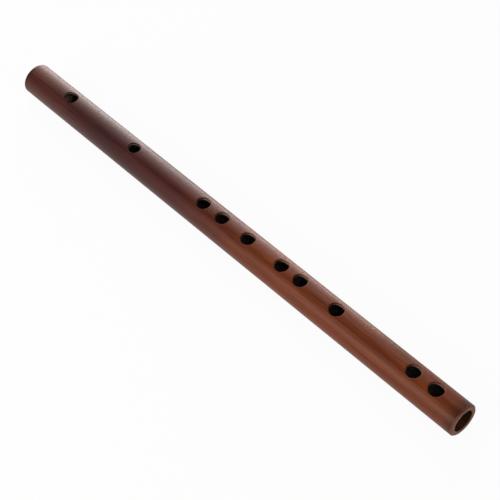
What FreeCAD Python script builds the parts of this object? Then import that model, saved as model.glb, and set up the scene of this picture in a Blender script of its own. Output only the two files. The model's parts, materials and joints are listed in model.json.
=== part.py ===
import FreeCAD, Part
import math
import os
import Sketcher

# A side-blown bamboo flute, lying along X with its head at -X and its foot at +X.
# The origin is on the bore's axis, half way along the tube, and the row of holes faces +Z.

# Every driving dimension: its name, its value and what it measures. A name that ends in share
# is a share of the tube's length, because a flute in another key is longer or shorter and its
# holes move with it, and every other value is in millimetres
DIMENSIONS = [
    ("tube_length", 382.0, "head rim to foot rim"),
    ("tube_diameter", 21.0, "outside of the bamboo"),
    ("wall_thickness", 3.3, "bamboo between the skin and the reamed bore"),
    ("ream_depth", 0.3, "taken off the natural bore's wall by the reamer"),
    ("head_rim_radius", 0.9, "round on the head's outer rim"),
    ("foot_chamfer", 0.8, "bevel on the foot's outer rim"),
    ("bore_lip_chamfer", 0.3, "bevel on the bore at both ends"),
    ("hole_lip_bevel", 0.35, "eased edge of each tone hole"),
    ("blow_lip_radius", 0.15, "crisper round on the blow hole's edge"),
    ("cut_overrun", 2.0, "how far each cut runs clear of the skin"),
    ("blow_hole_place_share", 0.10393, "centre from the head rim, of the tube's length"),
    ("blow_hole_long", 10.0, "along the tube"),
    ("blow_hole_wide", 9.1, "across the tube"),
    ("blow_hole_land", 1.8, "straight wall under the blow hole's edge"),
    ("blow_hole_undercut", 1.6, "flare on each side below the land, by the bore's axis"),
    ("membrane_hole_place_share", 0.27120, "centre from the head rim, of the tube's length"),
    ("membrane_hole_long", 8.4, "along the tube"),
    ("membrane_hole_wide", 7.8, "across the tube"),
    ("sixth_finger_hole_place_share", 0.44319, "centre from the head rim, of the tube's length"),
    ("sixth_finger_hole_long", 9.2, "along the tube"),
    ("sixth_finger_hole_wide", 8.4, "across the tube"),
    ("fifth_finger_hole_place_share", 0.48743, "centre from the head rim, of the tube's length"),
    ("fifth_finger_hole_long", 9.3, "along the tube"),
    ("fifth_finger_hole_wide", 8.5, "across the tube"),
    ("fourth_finger_hole_place_share", 0.54764, "centre from the head rim, of the tube's length"),
    ("fourth_finger_hole_long", 9.6, "along the tube"),
    ("fourth_finger_hole_wide", 8.8, "across the tube"),
    ("third_finger_hole_place_share", 0.62382, "centre from the head rim, of the tube's length"),
    ("third_finger_hole_long", 9.4, "along the tube"),
    ("third_finger_hole_wide", 8.6, "across the tube"),
    ("second_finger_hole_place_share", 0.66518, "centre from the head rim, of the tube's length"),
    ("second_finger_hole_long", 9.5, "along the tube"),
    ("second_finger_hole_wide", 8.7, "across the tube"),
    ("first_finger_hole_place_share", 0.74346, "centre from the head rim, of the tube's length"),
    ("first_finger_hole_long", 9.8, "along the tube"),
    ("first_finger_hole_wide", 9.0, "across the tube"),
    ("upper_back_hole_place_share", 0.81937, "centre from the head rim, of the tube's length"),
    ("lower_back_hole_place_share", 0.86257, "centre from the head rim, of the tube's length"),
    ("back_hole_long", 9.0, "along the tube, both back holes"),
    ("back_hole_wide", 8.3, "across the tube, both back holes"),
    ("upper_end_hole_place_share", 0.90183, "centre from the head rim, of the tube's length"),
    ("upper_end_hole_long", 9.5, "along the tube"),
    ("upper_end_hole_wide", 8.8, "across the tube"),
    ("lower_end_hole_place_share", 0.94634, "centre from the head rim, of the tube's length"),
    ("lower_end_hole_long", 9.9, "along the tube"),
    ("lower_end_hole_wide", 9.1, "across the tube"),
    ("stopper_length", 12.0, "cork, along the bore"),
    ("stopper_setback", 9.0, "the cork's face to the blow hole's centre"),
    ("stopper_chamfer", 0.6, "bevel on both ends of the cork"),
]

# The holes past the blow hole, in the order that they are met from the head: the hole's name,
# whose opening it has, and whether it faces up with the row or down at the back
TONE_HOLES = [
    ("membrane_hole", "membrane_hole", True),
    ("sixth_finger_hole", "sixth_finger_hole", True),
    ("fifth_finger_hole", "fifth_finger_hole", True),
    ("fourth_finger_hole", "fourth_finger_hole", True),
    ("third_finger_hole", "third_finger_hole", True),
    ("second_finger_hole", "second_finger_hole", True),
    ("first_finger_hole", "first_finger_hole", True),
    ("upper_back_hole", "back_hole", False),
    ("lower_back_hole", "back_hole", False),
    ("upper_end_hole", "upper_end_hole", True),
    ("lower_end_hole", "lower_end_hole", True),
]

# What follows from the sheet, as expressions
SKIN_RADIUS = "(sizes.tube_diameter / 2)"
BORE_RADIUS = "(sizes.tube_diameter / 2 - sizes.wall_thickness)"
NATURAL_RADIUS = "(sizes.tube_diameter / 2 - sizes.wall_thickness - sizes.ream_depth)"
FOOT_END = "(sizes.tube_length / 2)"

# How close, as a share of a radius, an edge lies to the circle or skin that it is found on
MATCH_SHARE = 1e-4
EDGE_SAMPLES = 5


def make_sheet(doc):
    sheet = doc.addObject("Spreadsheet::Sheet", "sizes")
    for row, (name, value, meaning) in enumerate(DIMENSIONS, start=1):
        sheet.set(f"A{row}", meaning)
        sheet.set(f"B{row}", str(value))
        sheet.setAlias(f"B{row}", name)
    doc.recompute()
    return sheet


def value_of(sheet, expression):
    # The number that an expression on the sheet gives
    return float(sheet.evalExpression(expression))


def place_of(hole):
    # A hole's centre along X, measured from the middle of the tube
    return f"(sizes.tube_length * sizes.{hole}_place_share - {FOOT_END})"


def make_body(doc, name):
    body = doc.addObject("PartDesign::Body", name)
    body.Label = name
    return body


def origin_plane(body, role):
    for feature in body.Origin.OriginFeatures:
        if feature.Role == role:
            return feature
    raise RuntimeError(f"{body.Label} has no {role}")


def sketch_on(body, name, role, offset_axis=None, offset=None):
    sketch = body.newObject("Sketcher::SketchObject", name)
    sketch.AttachmentSupport = [(origin_plane(body, role), "")]
    sketch.MapMode = "FlatFace"
    if offset_axis:
        sketch.setExpression(f"AttachmentOffset.Base.{offset_axis}", offset)
    return sketch


def add_size(sketch, kind, index, value, name, expression):
    # A named dimension on one piece of a sketch, tied to the sheet
    constraint = sketch.addConstraint(Sketcher.Constraint(kind, index, value))
    sketch.renameConstraint(constraint, name)
    sketch.setExpression(f"Constraints.{name}", expression)


def add_circle(sketch, sheet, name, radius):
    # A circle on the sketch's origin
    size = value_of(sheet, radius)
    circle = Part.Circle(FreeCAD.Vector(), FreeCAD.Vector(0, 0, 1), size)
    index = sketch.addGeometry(circle, False)
    sketch.addConstraint(Sketcher.Constraint("Coincident", index, 3, -1, 1))
    add_size(sketch, "Radius", index, size, name, radius)


def add_oval(sketch, sheet, like, growth="0"):
    # An ellipse on the sketch's origin, its long axis along the tube
    long_size = sheet.get(f"{like}_long")
    wide_size = sheet.get(f"{like}_wide")
    index = sketch.addGeometry(Part.Ellipse(FreeCAD.Vector(), long_size / 2, wide_size / 2), False)
    sketch.exposeInternalGeometry(index)
    long_axis = index + 1
    wide_axis = index + 2
    sketch.addConstraint(Sketcher.Constraint("Coincident", index, 3, -1, 1))
    sketch.addConstraint(Sketcher.Constraint("Horizontal", long_axis))
    add_size(sketch, "Distance", long_axis, long_size, "along", f"sizes.{like}_long + 2 * {growth}")
    add_size(sketch, "Distance", wide_axis, wide_size, "across", f"sizes.{like}_wide + 2 * {growth}")


def add_pocket(body, sketch, name, depth, upwards):
    volume_before = body.Shape.Volume
    pocket = body.newObject("PartDesign::Pocket", name)
    pocket.Profile = sketch
    pocket.Reversed = upwards
    pocket.setExpression("Length", depth)
    body.Document.recompute()
    if not body.Shape.Volume < volume_before:
        raise RuntimeError(f"{name} cut nothing")


def rim_edges(shape, radius, place):
    # Full circles about the bore's axis, of one radius, at one place along it
    found = []
    for number, edge in enumerate(shape.Edges, start=1):
        curve = edge.Curve
        if not isinstance(curve, Part.Circle):
            continue
        centre_error = (curve.Center - FreeCAD.Vector(place, 0, 0)).Length
        if centre_error + abs(curve.Radius - radius) < MATCH_SHARE * radius:
            found.append(f"Edge{number}")
    return found


def dress_edges(body, kind, name, edges, size_name, size):
    carrier = body.Tip
    feature = body.newObject(f"PartDesign::{kind}", name)
    feature.Base = (carrier, edges)
    feature.setExpression(size_name, size)
    body.Document.recompute()


def make_wall(body, sheet):
    # The plain bamboo wall: a ring drawn across the tube and run along it, both ways from the middle
    ring = sketch_on(body, "wall_ring", "YZ_Plane")
    add_circle(ring, sheet, "skin", SKIN_RADIUS)
    add_circle(ring, sheet, "natural_bore", NATURAL_RADIUS)
    wall = body.newObject("PartDesign::Pad", "wall")
    wall.Profile = ring
    wall.Midplane = True
    wall.setExpression("Length", "sizes.tube_length")
    body.Document.recompute()


def stopper_face():
    # Where the cork's flat face lies along X, which is where the reamer stops
    return f"({place_of('blow_hole')} - sizes.stopper_setback)"


def ream_bore(body, sheet):
    # The sounding bore is reamed from the foot up to the stopper, and the head keeps its natural bore
    mouth = sketch_on(body, "reamer", "YZ_Plane", "z", FOOT_END)
    add_circle(mouth, sheet, "reamed", BORE_RADIUS)
    add_pocket(body, mouth, "reamed_bore", f"{FOOT_END} - {stopper_face()}", False)


def dress_ends(body, sheet):
    # Head rim rounded over, foot rim bevelled, and the bore's lip eased at both ends
    foot_end = value_of(sheet, FOOT_END)
    skin = value_of(sheet, SKIN_RADIUS)
    natural = value_of(sheet, NATURAL_RADIUS)
    bore = value_of(sheet, BORE_RADIUS)
    head = rim_edges(body.Shape, skin, -foot_end)
    dress_edges(body, "Fillet", "head_rim", head, "Radius", "sizes.head_rim_radius")
    foot = rim_edges(body.Shape, skin, foot_end)
    dress_edges(body, "Chamfer", "foot_rim", foot, "Size", "sizes.foot_chamfer")
    lips = rim_edges(body.Shape, natural, -foot_end) + rim_edges(body.Shape, bore, foot_end)
    dress_edges(body, "Chamfer", "bore_lips", lips, "Size", "sizes.bore_lip_chamfer")


def cut_tone_hole(body, sheet, name, like, upwards):
    # An oval drawn on the plane through the bore's axis and cut out through one side of the wall
    outline = sketch_on(body, f"{name}_outline", "XY_Plane", "x", place_of(name))
    add_oval(outline, sheet, like)
    add_pocket(body, outline, name, f"{SKIN_RADIUS} + sizes.cut_overrun", upwards)


def cut_blow_hole(body, sheet):
    # A straight oval mouth, then a flare under a short land that opens towards the bore
    cut_tone_hole(body, sheet, "blow_hole", "blow_hole", True)
    throat = sketch_on(body, "undercut_throat", "XY_Plane", "x", place_of("blow_hole"))
    throat.setExpression("AttachmentOffset.Base.z", f"{SKIN_RADIUS} - sizes.blow_hole_land")
    add_oval(throat, sheet, "blow_hole")
    skirt = sketch_on(body, "undercut_skirt", "XY_Plane", "x", place_of("blow_hole"))
    add_oval(skirt, sheet, "blow_hole", "sizes.blow_hole_undercut")
    flare = body.newObject("PartDesign::SubtractiveLoft", "blow_hole_undercut")
    flare.Profile = throat
    flare.Sections = [skirt]
    flare.Ruled = True
    body.Document.recompute()


def mouth_edges(shape, sheet, name, like, upwards):
    # The closed edge where one hole meets the skin
    place = value_of(sheet, place_of(name))
    skin = value_of(sheet, SKIN_RADIUS)
    reach = sheet.get(f"{like}_long")
    found = []
    for number, edge in enumerate(shape.Edges, start=1):
        box = edge.BoundBox
        near = abs(box.Center.x - place) < reach / 4 and box.XLength < 2 * reach
        faces_out = (box.Center.z > 0) == upwards
        radii = [math.hypot(point.y, point.z) for point in edge.discretize(EDGE_SAMPLES)]
        on_skin = all(abs(radius - skin) < MATCH_SHARE * skin for radius in radii)
        if near and faces_out and on_skin:
            found.append(f"Edge{number}")
    return found


def ease_mouths(body, sheet):
    # A small round on the blow hole, where the breath is split, and a bevel on every other hole
    blow = mouth_edges(body.Shape, sheet, "blow_hole", "blow_hole", True)
    dress_edges(body, "Fillet", "blow_hole_lip", blow, "Radius", "sizes.blow_lip_radius")
    mouths = []
    for name, like, upwards in TONE_HOLES:
        mouths += mouth_edges(body.Shape, sheet, name, like, upwards)
    dress_edges(body, "Chamfer", "tone_hole_lips", mouths, "Size", "sizes.hole_lip_bevel")


def make_tube(doc, sheet):
    body = make_body(doc, "bamboo_tube")
    make_wall(body, sheet)
    ream_bore(body, sheet)
    dress_ends(body, sheet)
    cut_blow_hole(body, sheet)
    for name, like, upwards in TONE_HOLES:
        cut_tone_hole(body, sheet, name, like, upwards)
    ease_mouths(body, sheet)
    return body


def make_stopper(doc, sheet):
    # A cork squeezed to the natural bore's own diameter, pushed in from the head until its flat
    # face is just short of the blow hole
    body = make_body(doc, "cork_stopper")
    face = stopper_face()
    disc = sketch_on(body, "cork_disc", "YZ_Plane", "z", face)
    add_circle(disc, sheet, "squeezed", NATURAL_RADIUS)
    cork = body.newObject("PartDesign::Pad", "cork")
    cork.Profile = disc
    cork.Reversed = True
    cork.setExpression("Length", "sizes.stopper_length")
    doc.recompute()
    radius = value_of(sheet, NATURAL_RADIUS)
    near_end = value_of(sheet, face)
    far_end = near_end - sheet.stopper_length
    ends = rim_edges(body.Shape, radius, near_end) + rim_edges(body.Shape, radius, far_end)
    dress_edges(body, "Chamfer", "cork_bevels", ends, "Size", "sizes.stopper_chamfer")
    return body


def check_document(doc, bodies):
    for item in doc.Objects:
        if "Invalid" in item.State or "Error" in item.State:
            raise RuntimeError(f"{item.Label} failed: {item.State}")
    for body in bodies:
        if body.Shape.isNull() or not body.Shape.isValid() or len(body.Shape.Solids) != 1:
            raise RuntimeError(f"{body.Label} is not one sound solid")


def write_parts(bodies):
    os.makedirs("parts", exist_ok=True)
    for body in bodies:
        body.Shape.exportStep(f"parts/{body.Label}.step")
        print(body.Label, round(body.Shape.Volume, 3), "cubic mm")


document = FreeCAD.newDocument("bamboo_flute")
size_sheet = make_sheet(document)
parts = [make_tube(document, size_sheet), make_stopper(document, size_sheet)]
document.recompute()
check_document(document, parts)
write_parts(parts)
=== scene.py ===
import json
import math

import bmesh
import bpy
from mathutils import Matrix, Vector, noise


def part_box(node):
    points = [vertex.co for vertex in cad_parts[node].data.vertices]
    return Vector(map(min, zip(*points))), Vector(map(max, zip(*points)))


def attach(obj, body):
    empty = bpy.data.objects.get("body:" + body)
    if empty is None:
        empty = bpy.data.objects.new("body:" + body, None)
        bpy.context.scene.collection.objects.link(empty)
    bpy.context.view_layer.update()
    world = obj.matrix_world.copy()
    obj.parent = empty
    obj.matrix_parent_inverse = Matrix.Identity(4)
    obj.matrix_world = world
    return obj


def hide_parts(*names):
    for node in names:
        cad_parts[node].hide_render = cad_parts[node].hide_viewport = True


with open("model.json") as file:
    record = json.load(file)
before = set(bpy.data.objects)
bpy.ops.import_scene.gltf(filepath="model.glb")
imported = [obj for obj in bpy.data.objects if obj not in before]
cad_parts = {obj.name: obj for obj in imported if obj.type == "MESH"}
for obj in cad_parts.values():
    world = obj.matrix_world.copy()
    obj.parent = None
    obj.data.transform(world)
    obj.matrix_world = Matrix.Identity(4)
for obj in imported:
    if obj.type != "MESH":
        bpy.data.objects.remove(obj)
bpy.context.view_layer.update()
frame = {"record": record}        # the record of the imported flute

mm = 0.001

# What the frame says of the flute, in metres: X runs from the head to the foot, the holes face +Z
tubeLow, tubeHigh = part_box("bamboo_tube")
corkLow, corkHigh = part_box("cork_stopper")
headEnd = tubeLow.x
footEnd = tubeHigh.x
skinRadius = (tubeHigh.y - tubeLow.y) / 2
naturalRadius = (corkHigh.y - corkLow.y) / 2     # the cork is squeezed to the natural bore
mounts = {mount["name"]: mount for mount in frame["record"]["mounts"]}
boreRadius = mounts["foot_bore"]["dims"]["r_mm"] * mm        # reamed, from the foot to the cork
openings = {opening["name"]: opening["box_m"] for opening in frame["record"]["physics"]["openings"]}


def hexColour(text):
    # An sRGB hex colour as linear values with an alpha of one
    channels = [int(text[start:start + 2], 16) / 255 for start in (1, 3, 5)]
    linear = [c / 12.92 if c <= 0.04045 else ((c + 0.055) / 1.055) ** 2.4 for c in channels]
    return (*linear, 1.0)


mapEnds = ("From Min", "From Max", "To Min", "To Max")       # the ends of a Map Range node, in order


def addNode(tree, kind, values=None, links=None, stops=None, **settings):
    # A node with its own settings, the values of its inputs, what is linked in and a ramp's stops
    node = tree.nodes.new(kind)
    for name, value in settings.items():
        setattr(node, name, value)
    for name, value in (values or {}).items():
        node.inputs[name].default_value = value
    for name, source in (links or {}).items():
        tree.links.new(source, node.inputs[name])
    for index, (place, shade) in enumerate(stops or []):
        elements = node.color_ramp.elements
        element = elements[index] if index < 2 else elements.new(place)
        element.position = place
        element.color = hexColour(shade)
    return node


def newMaterial(name):
    material = bpy.data.materials.new(name)
    material.use_nodes = True
    material.node_tree.nodes.clear()
    return material, material.node_tree


def addObject(name, data):
    body = bpy.data.objects.new(name, data)
    bpy.context.collection.objects.link(body)
    return body


def aimed(place, aim):
    # Where the camera or a lamp stands, and how it is turned to face its aim
    turn = (aim - place).to_track_quat("-Z", "Y").to_matrix().to_4x4()
    return Matrix.Translation(place) @ turn


# Camera

camera = {
    "place": (466.1, -340.8, 727.9),     # mm, past the foot and above it
    "aim": (19.6, -0.3, 0.0),            # mm, the point that the middle of the picture looks at
    "roll": -7.27,                       # degrees
    "lens": 109.7,                       # mm
    "sensor": 36.0,                      # mm
    "shift": (-0.001, 0.001),            # half a pixel
    "clip": (0.05, 50.0),                # m, the nearest and the farthest that it sees
}


def makeCamera():
    data = bpy.data.cameras.new("photographersCamera")
    data.sensor_width = camera["sensor"]
    data.lens = camera["lens"]
    data.shift_x, data.shift_y = camera["shift"]
    data.clip_start, data.clip_end = camera["clip"]
    body = addObject("photographersCamera", data)
    roll = Matrix.Rotation(math.radians(camera["roll"]), 4, "Z")
    body.matrix_world = aimed(Vector(camera["place"]) * mm, Vector(camera["aim"]) * mm) @ roll
    bpy.context.scene.camera = body


makeCamera()
print("camera placed")


# Studio: a pale table, two light panels that face up a centimetre above it behind the flute, five
# softboxes behind, one over the head, four in front and one past the foot

studio = {
    "tableSize": 24.0,                   # m
    "tableColour": "#e8e7e4",
    "tableGap": 0.05 * mm,               # under the lowest of the bamboo
    "whiteShare": 0.95,                  # how much of the table is shown as plain white
    "air": "#ffffff",
    "airLevel": 0.03,                    # how bright the dim world is, where 1 is white
    "keyLevel": 7.0,                     # how bright the strongest lights look, where 1 is white
}

# Each softbox or panel: its middle and what it faces in metres, its size, and how many stops it is set
# below the strongest
softboxes = {
    "panelHead": {
        "place": (-0.35, 0.22, 0.0), "aim": (-0.35, 0.22, 1.0), "size": (0.50, 0.38), "stops": 0},
    "panelMiddle": {
        "place": (0.0, 0.225, 0.0), "aim": (0.0, 0.225, 1.0), "size": (0.20, 0.37), "stops": 0},
    "backNearLow": {
        "place": (-0.70, 1.15, 0.19), "aim": (-0.70, 0.0, 0.0), "size": (0.40, 0.38), "stops": 0.5},
    "backNearHigh": {
        "place": (-0.70, 1.10, 0.62), "aim": (-0.70, 0.0, 0.0), "size": (0.40, 0.45), "stops": 2},
    "backMiddle": {
        "place": (-1.20, 1.15, 0.43), "aim": (-1.20, 0.0, 0.0), "size": (0.60, 0.83), "stops": 0},
    "backFar": {
        "place": (-1.95, 1.15, 0.43), "aim": (-1.90, 0.0, 0.0), "size": (0.90, 0.83), "stops": 1.5},
    "backTop": {
        "place": (-1.20, 0.90, 1.10), "aim": (-1.20, 0.0, 0.0), "size": (1.70, 0.50), "stops": 1},
    "overTheHead": {
        "place": (-0.95, 0.35, 1.15), "aim": (-0.50, 0.0, 0.0), "size": (0.90, 0.40), "stops": 1},
    "frontNear": {
        "place": (-0.10, -0.62, 0.30), "aim": (0.0, 0.0, 0.0), "size": (0.20, 0.22), "stops": 0},
    "frontTall": {
        "place": (-0.24, -0.83, 0.33), "aim": (-0.05, 0.0, 0.0), "size": (0.30, 0.52), "stops": 0.5},
    "frontTop": {
        "place": (-0.20, -0.65, 0.70), "aim": (-0.05, 0.0, 0.0), "size": (0.30, 0.25), "stops": 1},
    "frontFoot": {
        "place": (-0.22, -0.70, 0.51), "aim": (0.11, 0.0, 0.0), "size": (0.18, 0.18), "stops": 0},
    "footKey": {
        "place": (1.10, 0.0, 0.95), "aim": (0.0, 0.0, 0.0), "size": (0.90, 0.90), "stops": 1.5},
}


def makeTable():
    reach = studio["tableSize"] / 2
    top = tubeLow.z - studio["tableGap"]
    corners = [(-reach, -reach, top), (reach, -reach, top), (reach, reach, top), (-reach, reach, top)]
    sheet = bpy.data.meshes.new("paleTable")
    sheet.from_pydata(corners, [], [(0, 1, 2, 3)])
    table = addObject("paleTable", sheet)
    sheet.materials.append(paleTableTop())


def paleTableTop():
    # Matt white laminate, mostly shown as plain white, so that only a faint shadow is left on it. The
    # camera, reflections and glass all see the same white
    material, tree = newMaterial("paleLaminate")
    matt = addNode(tree, "ShaderNodeBsdfDiffuse", {"Color": hexColour(studio["tableColour"])})
    white = addNode(tree, "ShaderNodeEmission", {"Strength": 1.0})
    ray = addNode(tree, "ShaderNodeLightPath")
    mirrored = addNode(tree, "ShaderNodeMath", operation="MAXIMUM",
                       links={0: ray.outputs["Is Glossy Ray"], 1: ray.outputs["Is Transmission Ray"]})
    seen = addNode(tree, "ShaderNodeMath", operation="MAXIMUM",
                   links={0: ray.outputs["Is Camera Ray"], 1: mirrored.outputs[0]})
    share = addNode(tree, "ShaderNodeMath", {1: studio["whiteShare"]}, operation="MULTIPLY",
                    links={0: seen.outputs[0]})
    blend = addNode(tree, "ShaderNodeMixShader",
                    links={0: share.outputs[0], 1: matt.outputs[0], 2: white.outputs[0]})
    addNode(tree, "ShaderNodeOutputMaterial", links={"Surface": blend.outputs[0]})
    return material


def makeSoftbox(name, box):
    light = bpy.data.lights.new(name, "AREA")
    light.shape = "RECTANGLE"
    light.size, light.size_y = box["size"]
    bright = studio["keyLevel"] / 2 ** box["stops"]
    light.energy = bright * math.pi * light.size * light.size_y
    body = addObject(name, light)
    body.visible_camera = False          # the softboxes themselves stay out of every picture
    body.matrix_world = aimed(Vector(box["place"]), Vector(box["aim"]))


def makeAir():
    # A little light from all sides, the same for every ray
    world = bpy.data.worlds.new("studioAir")
    world.use_nodes = True
    world.node_tree.nodes.clear()
    tree = world.node_tree
    glow = addNode(tree, "ShaderNodeBackground",
                   {"Color": hexColour(studio["air"]), "Strength": studio["airLevel"]})
    addNode(tree, "ShaderNodeOutputWorld", links={"Surface": glow.outputs[0]})
    bpy.context.scene.world = world


bpy.context.scene.view_settings.view_transform = "Standard"
makeTable()
for boxName, softbox in softboxes.items():
    makeSoftbox(boxName, softbox)
makeAir()
print("studio lit")


# Bamboo tube

tube = {
    "sides": 96,                         # around the tube
    "step": 2.2 * mm,                    # along the plain stretches
    "windowHalf": 7.4 * mm,              # half of the patch round each hole, along the tube
    "windowSteps": 12,
    "windowSides": 28,                   # how many of the sides a patch spans
    "skinRings": 7,                      # rings from a patch's edge to the hole
    "boreRings": 4,
    "ringCrowding": 0.8,                 # below 1, these rings stand closer by the hole
    "lipSteps": 5,                       # steps down a hole's eased lip
    "wallSteps": 5,                      # down its wall below the land
    "innerSteps": 3,                     # round its edge in the bore
    "breakTrials": 8,                    # rounds of trial that find where a flare meets the bore
    "swayHeight": 0.03 * mm,             # sanded bamboo is never quite true
    "swayLength": 34 * mm,
    "swayFade": 6 * mm,                  # the ends are turned true
    "headRings": 10,                     # along the natural bore behind the cork's face
    "rimSteps": 8,                       # round the head's rim
    "faceRings": 4,                      # across the flat end grain
    "headRound": 0.9 * mm,
    "footBevel": 0.8 * mm,
    "boreLip": 0.3 * mm,
    "edgeEase": 0.12 * mm,               # worn round on every crisp edge
    "holeLip": 0.4 * mm,
    "blowLip": 0.15 * mm,
    "innerLip": 0.2 * mm,                # where a hole breaks into the bore
    "blowLand": 1.8 * mm,                # straight wall under the blow hole's edge
    "blowUndercut": 1.6 * mm,            # flare below the land, by the bore's axis
    "headDarkReach": 1.6 * mm,                # how far in from the two rims the skin is darkened
    "footDarkReach": 7.5 * mm,
    "shadedWalls": ("blow_hole", "membrane_hole"),      # the holes whose walls get painted shade all round
    "wallShadeShare": 0.6,                  # how strong that painted shade is
    "holeEndShade": 0.9,                      # painted shade at the two ends of the other holes' walls, along the tube
}

# Each oval hole: its length along the tube and its width in mm
ovals = {
    "blow_hole": (10.0, 9.1),
    "membrane_hole": (8.4, 7.8),
    "sixth_finger_hole": (9.2, 8.4),
    "fifth_finger_hole": (9.3, 8.5),
    "fourth_finger_hole": (9.6, 8.8),
    "third_finger_hole": (9.4, 8.6),
    "second_finger_hole": (9.5, 8.7),
    "first_finger_hole": (9.8, 9.0),
    "upper_back_hole": (9.0, 8.3),
    "lower_back_hole": (9.0, 8.3),
    "upper_end_hole": (9.5, 8.8),
    "lower_end_hole": (9.9, 9.1),
}

skinFinish, wallFinish, boreFinish, endFinish = range(4)
sharpEdge = 50.0             # degrees, an edge that turns by more stays crisp


class Shell:
    # One mesh's points and faces, with a finish for each face and, for each point, how much it is
    # darkened: beside the rims, and by painted shade on the hole walls
    def __init__(self):
        self.points = []
        self.darkShares = []
        self.faces = []
        self.finishes = []

    def point(self, place, darkShare=0.0):
        self.points.append(place)
        self.darkShares.append(darkShare)
        return len(self.points) - 1

    def face(self, corners, finish):
        self.faces.append(corners)
        self.finishes.append(finish)

    def bridge(self, first, second, finish):
        # Faces between two closed rings of as many points
        count = len(first)
        for here in range(count):
            after = (here + 1) % count
            self.face((first[here], first[after], second[after], second[here]), finish)


def swayAt(x, angle):
    # A slow rise and fall of the skin, a few hundredths of a millimetre, that dies out at the ends
    place = Vector((x / tube["swayLength"], math.cos(angle), math.sin(angle)))
    nearEnd = min(x - headEnd - tube["headRound"], footEnd - tube["footBevel"] - tube["edgeEase"] - x)
    fade = min(1.0, max(0.0, nearEnd / tube["swayFade"]))
    return tube["swayHeight"] * fade * noise.noise(place)


def wallPlace(x, angle, radius, isSkin):
    if isSkin:
        radius = radius + swayAt(x, angle)
    return Vector((x, radius * math.sin(angle), radius * math.cos(angle)))


def mixed(low, high, share):
    return low + (high - low) * share


def rimDarkening(x):
    # How much darker the skin is beside the rounds of the two ends
    fromHead = x - headEnd - tube["headRound"]
    fromFoot = footEnd - tube["footBevel"] - tube["edgeEase"] - x
    return max(0.0, 1 - fromHead / tube["headDarkReach"], 1 - fromFoot / tube["footDarkReach"])


def findHoles():
    # Where each hole lies, from the frame's own openings, in order along the tube
    found = []
    for name, (longSize, wideSize) in ovals.items():
        low, high = openings[name]
        found.append({
            "name": name,
            "middle": (low[0] + high[0]) / 2,
            "facing": 0.0 if high[2] > 0 else math.pi,
            "halfLong": longSize / 2 * mm,
            "halfWide": wideSize / 2 * mm,
            "lip": tube["blowLip"] if name == "blow_hole" else tube["holeLip"],
            "undercut": tube["blowUndercut"] if name == "blow_hole" else 0.0,
            # The walls of the two holes by the head get painted shade all round
            "paintedWallShade": tube["wallShadeShare"] if name in tube["shadedWalls"] else 0.0,
        })
    return sorted(found, key=lambda hole: hole["middle"])


def stationsAlong(holes, first, last):
    # Places along X for the rings of points: even inside each hole's patch, and about a step apart between
    places = [first]
    for hole in holes + [None]:
        target = hole["middle"] - tube["windowHalf"] if hole else last
        start = places[-1]
        count = max(1, round((target - start) / tube["step"]))
        places += [mixed(start, target, index / count) for index in range(1, count + 1)]
        if hole:
            hole["firstStation"] = len(places) - 1
            end = hole["middle"] + tube["windowHalf"]
            steps = tube["windowSteps"]
            places += [mixed(target, end, index / steps) for index in range(1, steps + 1)]
    return places


def patchEdge(hole):
    # The patch's outer points in order, as station and side numbers
    along, across = tube["windowSteps"], tube["windowSides"]
    station = hole["firstStation"]
    turn = round(hole["facing"] / (2 * math.pi) * tube["sides"])
    side = turn - across // 2
    loop = [(station + step, side) for step in range(along)]
    loop += [(station + along, side + step) for step in range(across)]
    loop += [(station + along - step, side + across) for step in range(along)]
    loop += [(station, side + across - step) for step in range(across)]
    return loop


def flareAt(hole, height):
    # How far the undercut has opened at a height above the bore's axis
    land = skinRadius - tube["blowLand"]
    return hole["undercut"] * max(0.0, land - height) / land


def holePlace(hole, turn, growth, height):
    # A point on a hole's wall: its angle round the oval, its growth beyond it and its height
    across = (hole["halfWide"] + growth) * math.sin(turn)
    upwards = 1.0 if hole["facing"] == 0.0 else -1.0
    along = (hole["halfLong"] + growth) * math.cos(turn)
    return Vector((hole["middle"] + along, upwards * across, upwards * height))


def heightOn(hole, turn, growth, radius, isSkin):
    across = (hole["halfWide"] + growth) * math.sin(turn)
    if isSkin:
        along = hole["middle"] + (hole["halfLong"] + growth) * math.cos(turn)
        radius = radius + swayAt(along, hole["facing"] + math.asin(across / radius))
    return math.sqrt(radius ** 2 - across ** 2)


def breakHeight(hole, turn):
    # Where the flared wall reaches the bore, by a few rounds of trial
    growth = 0.0
    for _ in range(tube["breakTrials"]):
        height = heightOn(hole, turn, growth, boreRadius, False)
        growth = flareAt(hole, height)
    return height


def makeSurface(shell, places, holes, radius, isSkin):
    # The skin or the bore: a grid with a patch left out and ringed in round each hole.
    # Returns its first and last rings and the loop of points at each hole
    sides = tube["sides"]
    finish = skinFinish if isSkin else boreFinish
    rings = tube["skinRings"] if isSkin else tube["boreRings"]
    growth = {hole["name"]: hole["lip"] if isSkin else tube["innerLip"] for hole in holes}
    inside = set()
    cells = set()
    for hole in holes:
        loop = patchEdge(hole)
        side = loop[0][1]
        for station in range(hole["firstStation"], hole["firstStation"] + tube["windowSteps"]):
            for step in range(tube["windowSides"]):
                cells.add((station, (side + step) % sides))
                if station > hole["firstStation"] and step > 0:
                    inside.add((station, (side + step) % sides))
    grid = {}
    for station, x in enumerate(places):
        for side in range(sides):
            if (station, side) not in inside:
                angle = side / sides * 2 * math.pi
                grid[station, side] = shell.point(wallPlace(x, angle, radius, isSkin), rimDarkening(x))
    for station in range(len(places) - 1):
        for side in range(sides):
            if (station, side) not in cells:
                after = (side + 1) % sides
                corners = (grid[station, side], grid[station + 1, side],
                           grid[station + 1, after], grid[station, after])
                shell.face(corners, finish)
    mouths = {}
    for hole in holes:
        mouths[hole["name"]] = ringIn(shell, places, hole, grid, radius, isSkin, rings,
                                      growth[hole["name"]], finish)
    firstRing = [grid[0, side] for side in range(sides)]
    lastRing = [grid[len(places) - 1, side] for side in range(sides)]
    return firstRing, lastRing, mouths


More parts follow.
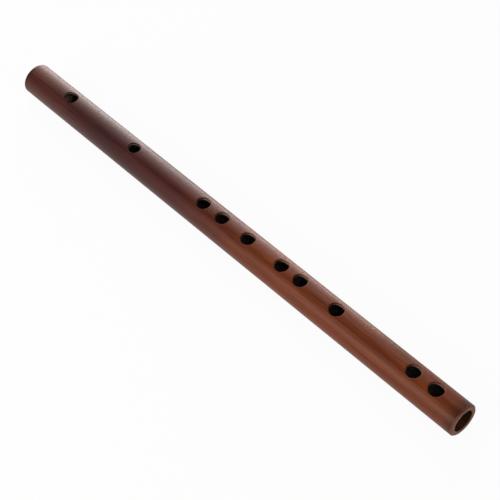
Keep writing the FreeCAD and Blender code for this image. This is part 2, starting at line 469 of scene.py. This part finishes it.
def ringIn(shell, places, hole, grid, radius, isSkin, rings, lip, finish):
    # Rings of points from a patch's square edge in to the oval, on the round of the wall
    sides = tube["sides"]
    edge = patchEdge(hole)
    corners = []
    mouth = []
    for station, side in edge:
        x = places[station] - hole["middle"]
        angle = side / sides * 2 * math.pi - hole["facing"]
        corners.append((x, angle))
    hole.setdefault("turns", [math.atan2(angle * skinRadius / hole["halfWide"], x / hole["halfLong"])
                              for x, angle in corners])
    for turn in hole["turns"]:
        flare = 0.0 if isSkin else flareAt(hole, breakHeight(hole, turn))
        grown = lip + flare
        across = (hole["halfWide"] + grown) * math.sin(turn)
        mouth.append(((hole["halfLong"] + grown) * math.cos(turn), math.asin(across / radius)))
    outer = [grid[station, side % sides] for station, side in edge]
    for ring in range(1, rings + 1):
        share = (ring / rings) ** tube["ringCrowding"]
        inner = []
        for start, end in zip(corners, mouth):
            x = hole["middle"] + mixed(start[0], end[0], share)
            angle = hole["facing"] + mixed(start[1], end[1], share)
            inner.append(shell.point(wallPlace(x, angle, radius, isSkin)))
        shell.bridge(outer, inner, finish)
        outer = inner
    return outer


def paintedWallShadeAt(hole, turn):
    # Painted shade on a hole's wall: darker at its two ends along the tube, and all round on the walls of
    # the two holes by the head
    return hole["paintedWallShade"] or tube["holeEndShade"] * math.cos(turn) ** 2


def makeHoleWall(shell, hole, skinLoop, boreLoop):
    # The eased lip, the straight wall, the blow hole's flare and the eased break into the bore
    lip, innerLip = hole["lip"], tube["innerLip"]
    land = skinRadius - tube["blowLand"]
    lipSteps, wallSteps, innerSteps = tube["lipSteps"], tube["wallSteps"], tube["innerSteps"]
    loops = [skinLoop]
    for step in range(1, lipSteps + 1):
        bend = step / lipSteps * math.pi / 2
        growth = lip * (1 - math.sin(bend))
        drop = lip * (1 - math.cos(bend))
        loops.append([shell.point(holePlace(hole, turn, growth,
                                            heightOn(hole, turn, growth, skinRadius, True) - drop))
                      for turn in hole["turns"]])
    tops = [heightOn(hole, turn, 0.0, skinRadius, True) - lip for turn in hole["turns"]]
    floors = [breakHeight(hole, turn) + innerLip for turn in hole["turns"]]
    # Two loops go down the land and the others down the wall below it, which flares in the blow hole
    shares = [(True, 0.5), (True, 1)] + [(False, step / wallSteps) for step in range(1, wallSteps + 1)]
    for onLand, share in shares:
        loop = []
        for turn, top, floor in zip(hole["turns"], tops, floors):
            bend = min(max(land, floor), top)
            height = mixed(top, bend, share) if onLand else mixed(bend, floor, share)
            place = holePlace(hole, turn, flareAt(hole, height), height)
            # Each wall point carries its share of painted shade
            loop.append(shell.point(place, paintedWallShadeAt(hole, turn)))
        loops.append(loop)
    for step in range(1, innerSteps):
        bend = step / innerSteps * math.pi / 2
        loop = []
        for turn, floor in zip(hole["turns"], floors):
            growth = flareAt(hole, floor - innerLip) + innerLip * (1 - math.cos(bend))
            rise = innerLip * (1 - math.sin(bend))
            height = heightOn(hole, turn, growth, boreRadius, False) + rise
            loop.append(shell.point(holePlace(hole, turn, growth, height), paintedWallShadeAt(hole, turn)))
        loops.append(loop)
    loops.append(boreLoop)
    for number in range(len(loops) - 1):
        finish = skinFinish if number < lipSteps else wallFinish
        shell.bridge(loops[number], loops[number + 1], finish)


def easedCorner(before, corner, after, ease):
    # Three points round a corner of an outline, set back by the worn round
    a, b, c = Vector(before), Vector(corner), Vector(after)
    start = b + (a - b).normalized() * ease
    end = b + (c - b).normalized() * ease
    return [start, (start + end) / 4 + b / 2, end]


def headOutline():
    # From the skin round the head's rim, across the end and along the natural bore to the reamer's
    # step beside the cork's face, as places, radii and finishes
    rim, rimSteps = tube["headRound"], tube["rimSteps"]
    outline = []
    for step in range(1, rimSteps + 1):
        bend = step / rimSteps * math.pi / 2
        x = headEnd + rim * (1 - math.sin(bend))
        outline.append((x, skinRadius - rim * (1 - math.cos(bend)), skinFinish))
    outline += endOutline(headEnd, 1.0, skinRadius - rim, naturalRadius)
    start = outline[-1][0]
    for step in range(1, tube["headRings"] + 1):
        outline.append((mixed(start, corkHigh.x, step / tube["headRings"]), naturalRadius, boreFinish))
    return outline


def footOutline():
    # The same for the foot, whose rim is a flat bevel with worn corners
    bevel, ease = tube["footBevel"], tube["edgeEase"]
    skinStop = (footEnd - bevel, skinRadius)
    faceStart = (footEnd, skinRadius - bevel)
    # The first point of the first corner is the last of the skin
    rim = easedCorner((headEnd, skinRadius), skinStop, faceStart, ease)[1:]
    rim += easedCorner(skinStop, faceStart, (footEnd, 0.0), ease)
    outline = [(x, radius, endFinish) for x, radius in rim]
    return outline + endOutline(footEnd, -1.0, skinRadius - bevel - ease, boreRadius)[:-1]


def endOutline(end, inwards, outerRadius, innerRadius):
    # The flat end grain and the small lip down into the bore
    lip, ease, faceRings = tube["boreLip"], tube["edgeEase"] / 2, tube["faceRings"]
    faceStop = (end, innerRadius + lip)
    boreStart = (end + inwards * lip, innerRadius)
    outline = [(end, mixed(outerRadius, innerRadius + lip, ring / faceRings), endFinish)
               for ring in range(1, faceRings)]
    outline += [(x, radius, endFinish) for x, radius in
                easedCorner((end, skinRadius), faceStop, boreStart, ease)
                + easedCorner(faceStop, boreStart, (0.0, innerRadius), ease)]
    return outline


def makeEnd(shell, skinRing, boreRing, outline):
    # Rings along an end's outline, from the last of the skin to the first of the bore
    sides = tube["sides"]
    ring = skinRing
    for x, radius, finish in outline:
        # Every point of an end gets the full darkening of the rims
        inner = [shell.point(wallPlace(x, side / sides * 2 * math.pi, radius, False), 1.0)
                 for side in range(sides)]
        shell.bridge(ring, inner, finish)
        ring = inner
    shell.bridge(ring, boreRing, boreFinish)


def meshFrom(shell, name, materials):
    sheet = bpy.data.meshes.new(name)
    sheet.from_pydata(shell.points, [], shell.faces)
    for material in materials:
        sheet.materials.append(material)
    sheet.polygons.foreach_set("material_index", shell.finishes)
    # Each point's darkening: beside the rims, and painted shade on the hole walls
    darkening = sheet.attributes.new("rimDarkAndWallShade", "FLOAT", "POINT")
    darkening.data.foreach_set("value", shell.darkShares)
    sheet.polygons.foreach_set("use_smooth", [True] * len(sheet.polygons))
    sheet.validate()
    sheet.set_sharp_from_angle(angle=math.radians(sharpEdge))
    return addObject(name, sheet)


def faceOutwards(body):
    # Turns every face of a closed mesh to look away from its inside
    work = bmesh.new()
    work.from_mesh(body.data)
    bmesh.ops.recalc_face_normals(work, faces=work.faces)
    work.to_mesh(body.data)
    work.free()


# Finishes of the tube

bamboo = {
    "fibre": (30.0, 0.9),        # mm, length and width: bundles are 0.3 mm wide, which is too fine to show
    "fibreSwing": (1.9, 2.8, 1.6),       # how much each colour swings: pale fibres are more orange
    "fibreDepth": 0.0008,        # mm that the fibres stand proud under the lacquer
    "blotch": (34.0, 7.0),       # mm, length and width of the cloudy patches in the stain
    "blotchSwing": (0.86, 1.12),         # how much they darken and lighten it
    "skinShades": [              # the stain from the head (0) to the foot (1)
        (0.0, "#50261f"),
        (0.2, "#36191c"),
        (0.4, "#421614"),
        (0.6, "#6a2c0c"),
    ],
    "skinRoughness": (0.43, 0.49),
    "lacquerIor": 1.42,
    "lacquerTint": "#ffcdb8",    # the gloss is warm
    "darkening": "#260a04",         # the darker colour beside the two rims
    "rimDarkShare": 0.8,          # how much of the skin's own shade it hides at most
    "filedWall": ("#a8937e", "#c0aa94"),         # this pair and the next swing with the fibres
    "filedDepth": 1.6,           # mm below the skin's round, as far as the file has reached
    "filedFade": (0.25, 0.05),   # mm below and above that, between which it fades into the near black further down
    # near black, further down a wall
    "deepWall": ("#1c1210", "#2b1c17"),
    # The dark stain run at the top of a wall, also the colour of the painted shade on the walls
    "stainedAndShadedWall": "#2c1512",
    "stainRun": 0.8,             # mm below the skin's round, as far as the stain has run down a wall
    "stainFade": 0.1,            # mm below that, over which it thins out
    "wallFibre": (12.0, 0.35),   # mm, length and width of the fibres cut through on a hole's wall
    "wallFibreDepth": 0.04,      # mm that they stand proud
    "bore": ("#33180e", "#4c2716"),
    "boreReach": (6.0, 18.0),    # mm in from the foot, where the stain on the bore thins out
    "bareBore": ("#4f423c", "#65564e"),
    "reamMark": (60.0, 0.8),     # mm, length and width
    "endGrain": ("#6e4029", "#825035"),
    "endCloud": 5.0,             # mm, the size of its paler and deeper patches
    "endPores": "#48291a",
    "poreSpacing": 0.6,          # mm between the fibre bundles on the end grain
    "poreEdge": (0.15, 0.4),     # from dark to pale, in shares of that spacing
}

# The levels of a noise between which a colour or another value swings
wideSpan = (0.3, 0.7)
narrowSpan = (0.35, 0.65)


def tubeSpace(tree, alongLength, acrossWidth):
    # Object coordinates stretched so that a noise of scale 1 has cells of these sizes in mm
    space = addNode(tree, "ShaderNodeTexCoord")
    scale = (1 / (alongLength * mm), 1 / (acrossWidth * mm), 1 / (acrossWidth * mm))
    return addNode(tree, "ShaderNodeMapping", {"Scale": scale}, {"Vector": space.outputs["Object"]})


def stainedLacqueredBamboo():
    # Bamboo culm, sanded, dyed from maroon at the head to red-brown at the foot and brushed with satin
    # lacquer: faint lengthwise fibres and cloudy stain under a smooth skin with broad soft highlights
    material, tree = newMaterial("stainedLacqueredBamboo")
    space = addNode(tree, "ShaderNodeTexCoord")
    apart = addNode(tree, "ShaderNodeSeparateXYZ", links={0: space.outputs["Object"]})
    along = addNode(tree, "ShaderNodeMapRange", {"From Min": headEnd, "From Max": footEnd},
                    {"Value": apart.outputs["X"]})
    stain = addNode(tree, "ShaderNodeValToRGB", links={0: along.outputs[0]}, stops=bamboo["skinShades"])
    blotchSpace = tubeSpace(tree, *bamboo["blotch"])
    blotches = addNode(tree, "ShaderNodeTexNoise", {"Scale": 1.0, "Detail": 3.0, "Roughness": 0.55},
                       {"Vector": blotchSpace.outputs[0]})
    blotchLevel = addNode(tree, "ShaderNodeMapRange", dict(zip(mapEnds, wideSpan + bamboo["blotchSwing"])),
                          {"Value": blotches.outputs[0]})
    fibreSpace = tubeSpace(tree, *bamboo["fibre"])
    fibres = addNode(tree, "ShaderNodeTexNoise", {"Scale": 1.0, "Detail": 4.0, "Roughness": 0.6},
                     {"Vector": fibreSpace.outputs[0]})
    swing = bamboo["fibreSwing"]
    fibreLevel = addNode(tree, "ShaderNodeVectorMath", {1: swing, 2: [1 - share / 2 for share in swing]},
                         {0: fibres.outputs[0]}, operation="MULTIPLY_ADD")
    level = addNode(tree, "ShaderNodeVectorMath", operation="SCALE",
                    links={0: fibreLevel.outputs[0], "Scale": blotchLevel.outputs[0]})
    shaded = addNode(tree, "ShaderNodeVectorMath", operation="MULTIPLY",
                     links={0: stain.outputs[0], 1: level.outputs[0]})
    # Darker beside the two rims, by the share that each point carries
    darkShare = addNode(tree, "ShaderNodeAttribute", attribute_name="rimDarkAndWallShade")
    rimDarkMix = addNode(tree, "ShaderNodeMath", {1: bamboo["rimDarkShare"]}, operation="MULTIPLY",
                        links={0: darkShare.outputs["Fac"]})
    coloured = addNode(tree, "ShaderNodeMix", {7: hexColour(bamboo["darkening"])}, data_type="RGBA",
                       links={0: rimDarkMix.outputs[0], 6: shaded.outputs[0]})
    rough = addNode(tree, "ShaderNodeMapRange", dict(zip(mapEnds, wideSpan + bamboo["skinRoughness"])),
                    {"Value": fibres.outputs[0]})
    bump = addNode(tree, "ShaderNodeBump", {"Strength": 1.0, "Distance": bamboo["fibreDepth"] * mm},
                   {"Height": fibres.outputs[0]})
    skin = addNode(tree, "ShaderNodeBsdfPrincipled",
                   {"IOR": bamboo["lacquerIor"], "Specular Tint": hexColour(bamboo["lacquerTint"])},
                   {"Base Color": coloured.outputs[2], "Roughness": rough.outputs[0],
                    "Normal": bump.outputs[0]})
    addNode(tree, "ShaderNodeOutputMaterial", links={"Surface": skin.outputs[0]})
    return material


def bambooHoleWallAndShade():
    # Hole walls, filed round their tops and stained over the lip: a dark run of stain, a narrow band of
    # pale bamboo under it and near black further down, with the fibres still showing. Painted shade
    # darkens the walls at the two ends of each hole, and all round in the two holes by the head
    material, tree = newMaterial("bambooHoleWallAndShade")
    fibreSpace = tubeSpace(tree, *bamboo["wallFibre"])
    fibres = addNode(tree, "ShaderNodeTexNoise", {"Scale": 1.0, "Detail": 2.0},
                     {"Vector": fibreSpace.outputs[0]})
    filed = addNode(tree, "ShaderNodeValToRGB", links={0: fibres.outputs[0]},
                    stops=list(zip(narrowSpan, bamboo["filedWall"])))
    lowerWall = addNode(tree, "ShaderNodeValToRGB", links={0: fibres.outputs[0]},
                      stops=list(zip(narrowSpan, bamboo["deepWall"])))
    space = addNode(tree, "ShaderNodeTexCoord")
    across = addNode(tree, "ShaderNodeVectorMath", {1: (0.0, 1.0, 1.0)}, operation="MULTIPLY",
                     links={0: space.outputs["Object"]})
    fromAxis = addNode(tree, "ShaderNodeVectorMath", operation="LENGTH", links={0: across.outputs[0]})
    filedStop = skinRadius - bamboo["filedDepth"] * mm
    fadeBelow, fadeAbove = bamboo["filedFade"]
    filedShare = addNode(tree, "ShaderNodeMapRange",
                         {"From Min": filedStop - fadeBelow * mm, "From Max": filedStop + fadeAbove * mm},
                         {"Value": fromAxis.outputs["Value"]})
    wallShade = addNode(tree, "ShaderNodeMix", data_type="RGBA",
                        links={0: filedShare.outputs[0], 6: lowerWall.outputs[0], 7: filed.outputs[0]})
    runStop = skinRadius - bamboo["stainRun"] * mm
    runShare = addNode(tree, "ShaderNodeMapRange",
                       {"From Min": runStop - bamboo["stainFade"] * mm, "From Max": runStop},
                       {"Value": fromAxis.outputs["Value"]})
    # Painted shade on the walls, carried on each point, takes the same dark colour as the stain run
    darkShare = addNode(tree, "ShaderNodeAttribute", attribute_name="rimDarkAndWallShade")
    darkerShare = addNode(tree, "ShaderNodeMath", operation="MAXIMUM",
                         links={0: darkShare.outputs["Fac"], 1: runShare.outputs[0]})
    shade = addNode(tree, "ShaderNodeMix", {7: hexColour(bamboo["stainedAndShadedWall"])}, data_type="RGBA",
                    links={0: darkerShare.outputs[0], 6: wallShade.outputs[2]})
    bump = addNode(tree, "ShaderNodeBump", {"Strength": 0.5, "Distance": bamboo["wallFibreDepth"] * mm},
                   {"Height": fibres.outputs[0]})
    wall = addNode(tree, "ShaderNodeBsdfPrincipled", {"IOR": 1.5, "Roughness": 0.5},
                   {"Base Color": shade.outputs[2], "Normal": bump.outputs[0]})
    addNode(tree, "ShaderNodeOutputMaterial", links={"Surface": wall.outputs[0]})
    return material


def reamedBore():
    # Reamed bamboo: red-brown where the stain has run in at the foot, bare and grey-brown deeper in, with
    # a dull gloss and a hint of long ream marks
    material, tree = newMaterial("reamedBore")
    reamSpace = tubeSpace(tree, *bamboo["reamMark"])
    marks = addNode(tree, "ShaderNodeTexNoise", {"Scale": 1.0, "Detail": 2.0},
                    {"Vector": reamSpace.outputs[0]})
    stained = addNode(tree, "ShaderNodeValToRGB", links={0: marks.outputs[0]},
                      stops=list(zip(wideSpan, bamboo["bore"])))
    bare = addNode(tree, "ShaderNodeValToRGB", links={0: marks.outputs[0]},
                   stops=list(zip(wideSpan, bamboo["bareBore"])))
    space = addNode(tree, "ShaderNodeTexCoord")
    apart = addNode(tree, "ShaderNodeSeparateXYZ", links={0: space.outputs["Object"]})
    nearFoot, deepIn = (footEnd - reach * mm for reach in bamboo["boreReach"])
    darkerShare = addNode(tree, "ShaderNodeMapRange", {"From Min": deepIn, "From Max": nearFoot},
                         {"Value": apart.outputs["X"]})
    shade = addNode(tree, "ShaderNodeMix", data_type="RGBA",
                    links={0: darkerShare.outputs[0], 6: bare.outputs[0], 7: stained.outputs[0]})
    bore = addNode(tree, "ShaderNodeBsdfPrincipled", {"IOR": 1.5, "Roughness": 0.45},
                   {"Base Color": shade.outputs[2]})
    addNode(tree, "ShaderNodeOutputMaterial", links={"Surface": bore.outputs[0]})
    return material


def sawnEndGrain():
    # Sawn and sanded bamboo end: paler pinkish brown, peppered with the dark dots of fibre bundles
    material, tree = newMaterial("sawnEndGrain")
    space = addNode(tree, "ShaderNodeTexCoord")
    dots = addNode(tree, "ShaderNodeTexVoronoi", {"Scale": 1 / (bamboo["poreSpacing"] * mm)},
                   {"Vector": space.outputs["Object"]}, feature="F1")
    dotLevel = addNode(tree, "ShaderNodeMapRange", dict(zip(mapEnds, bamboo["poreEdge"])),
                       {"Value": dots.outputs["Distance"]})
    clouds = addNode(tree, "ShaderNodeTexNoise", {"Scale": 1 / (bamboo["endCloud"] * mm), "Detail": 2.0},
                     {"Vector": space.outputs["Object"]})
    pale = addNode(tree, "ShaderNodeValToRGB", links={0: clouds.outputs[0]},
                   stops=list(zip(narrowSpan, bamboo["endGrain"])))
    shade = addNode(tree, "ShaderNodeMix", {6: hexColour(bamboo["endPores"])}, data_type="RGBA",
                    links={0: dotLevel.outputs[0], 7: pale.outputs[0]})
    end = addNode(tree, "ShaderNodeBsdfPrincipled",
                  {"IOR": bamboo["lacquerIor"], "Roughness": 0.55,
                   "Specular Tint": hexColour(bamboo["lacquerTint"])},
                  {"Base Color": shade.outputs[2]})
    addNode(tree, "ShaderNodeOutputMaterial", links={"Surface": end.outputs[0]})
    return material


def makeTube():
    shell = Shell()
    holes = findHoles()
    skinStop = footEnd - tube["footBevel"] - tube["edgeEase"]
    places = stationsAlong(holes, headEnd + tube["headRound"], skinStop)
    skinHead, skinFoot, skinMouths = makeSurface(shell, places, holes, skinRadius, True)
    boreStop = footEnd - tube["boreLip"] - tube["edgeEase"] / 2
    places = stationsAlong(holes, corkHigh.x, boreStop)
    boreHead, boreFoot, boreMouths = makeSurface(shell, places, holes, boreRadius, False)
    for hole in holes:
        makeHoleWall(shell, hole, skinMouths[hole["name"]], boreMouths[hole["name"]])
    makeEnd(shell, skinHead, boreHead, headOutline())
    makeEnd(shell, skinFoot, boreFoot, footOutline())
    finishes = [stainedLacqueredBamboo(), bambooHoleWallAndShade(), reamedBore(), sawnEndGrain()]
    body = meshFrom(shell, "bambooTube", finishes)
    faceOutwards(body)
    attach(body, "root")
    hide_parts("bamboo_tube")
    print("bamboo tube made of", len(shell.faces), "faces")


makeTube()


# Cork stopper

cork = {
    "sides": 72,
    "bevel": 0.6 * mm,
    "bevelMiddle": 0.3,          # how far in the middle of the worn bevel lies, as a share of the bevel
    "rows": 12,                  # rings along the side
    "faceRings": 9,              # across each end
    "pitDepth": 0.12 * mm,
    "pitSize": 1.3 * mm,
    "pitPower": 1.5,             # above 1, the shallow pits fade and the deep ones stay
    "cellSize": 1.1 * mm,
    "cells": ("#d2a383", "#ab7f66"),
    "cellSpan": (0.1, 0.7),      # from a cell's middle to its edge
    "poreSize": 1.6 * mm,
    "pores": "#3a2517",
    "poreSpan": (0.56, 0.66),    # only the peaks of the noise are pores
    "grainHeight": 0.15 * mm,    # how rough the cut face is under a light
}


def corkPit(place):
    # Cork has small pits, a few of them deep
    grain = noise.noise(place / cork["pitSize"])
    return cork["pitDepth"] * max(0.0, grain) ** cork["pitPower"]


def makeCork():
    shell = Shell()
    low, high, bevel, faceRings = corkLow.x, corkHigh.x, cork["bevel"], cork["faceRings"]
    wall, face, softened = naturalRadius, naturalRadius - bevel, bevel * cork["bevelMiddle"]
    outline = [(low, face * step / faceRings) for step in range(1, faceRings + 1)]
    outline += [(low + softened, wall - softened), (low + bevel, wall)]
    outline += [(mixed(low + bevel, high - bevel, step / cork["rows"]), wall)
                for step in range(1, cork["rows"] + 1)]
    outline += [(high - softened, wall - softened)]
    outline += [(high, face * step / faceRings) for step in range(faceRings, 0, -1)]
    rings = []
    middle = Vector(((low + high) / 2, 0.0, 0.0))
    for x, radius in outline:
        ring = []
        for side in range(cork["sides"]):
            place = wallPlace(x, side / cork["sides"] * 2 * math.pi, radius, False)
            inwards = (middle - place).normalized()
            ring.append(shell.point(place + inwards * corkPit(place)))
        rings.append(ring)
    for number in range(len(rings) - 1):
        shell.bridge(rings[number], rings[number + 1], 0)
    for ring, x in ((rings[0], low), (rings[-1], high)):
        hub = shell.point(Vector((x, 0.0, 0.0)))
        for side in range(cork["sides"]):
            shell.face((ring[side], ring[(side + 1) % cork["sides"]], hub), 0)
    body = meshFrom(shell, "corkStopper", [naturalCork()])
    faceOutwards(body)
    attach(body, "root")
    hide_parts("cork_stopper")


def naturalCork():
    # Natural cork, turned to a plug: matt, warm brown cells with dark pores
    material, tree = newMaterial("naturalCork")
    space = addNode(tree, "ShaderNodeTexCoord")
    cells = addNode(tree, "ShaderNodeTexVoronoi", {"Scale": 1 / cork["cellSize"], "Randomness": 1.0},
                    {"Vector": space.outputs["Object"]})
    pores = addNode(tree, "ShaderNodeTexNoise",
                    {"Scale": 1 / cork["poreSize"], "Detail": 3.0, "Roughness": 0.65},
                    {"Vector": space.outputs["Object"]})
    cellShade = addNode(tree, "ShaderNodeValToRGB", links={0: cells.outputs["Distance"]},
                        stops=list(zip(cork["cellSpan"], cork["cells"])))
    poreLevel = addNode(tree, "ShaderNodeMapRange", dict(zip(mapEnds, cork["poreSpan"])),
                        {"Value": pores.outputs[0]})
    shade = addNode(tree, "ShaderNodeMix", {7: hexColour(cork["pores"])}, data_type="RGBA",
                    links={0: poreLevel.outputs[0], 6: cellShade.outputs[0]})
    bump = addNode(tree, "ShaderNodeBump", {"Strength": 0.5, "Distance": cork["grainHeight"]},
                   {"Height": pores.outputs[0]})
    plug = addNode(tree, "ShaderNodeBsdfPrincipled", {"IOR": 1.4, "Roughness": 0.85},
                   {"Base Color": shade.outputs[2], "Normal": bump.outputs[0]})
    addNode(tree, "ShaderNodeOutputMaterial", links={"Surface": plug.outputs[0]})
    return material


makeCork()
print("cork stopper made")
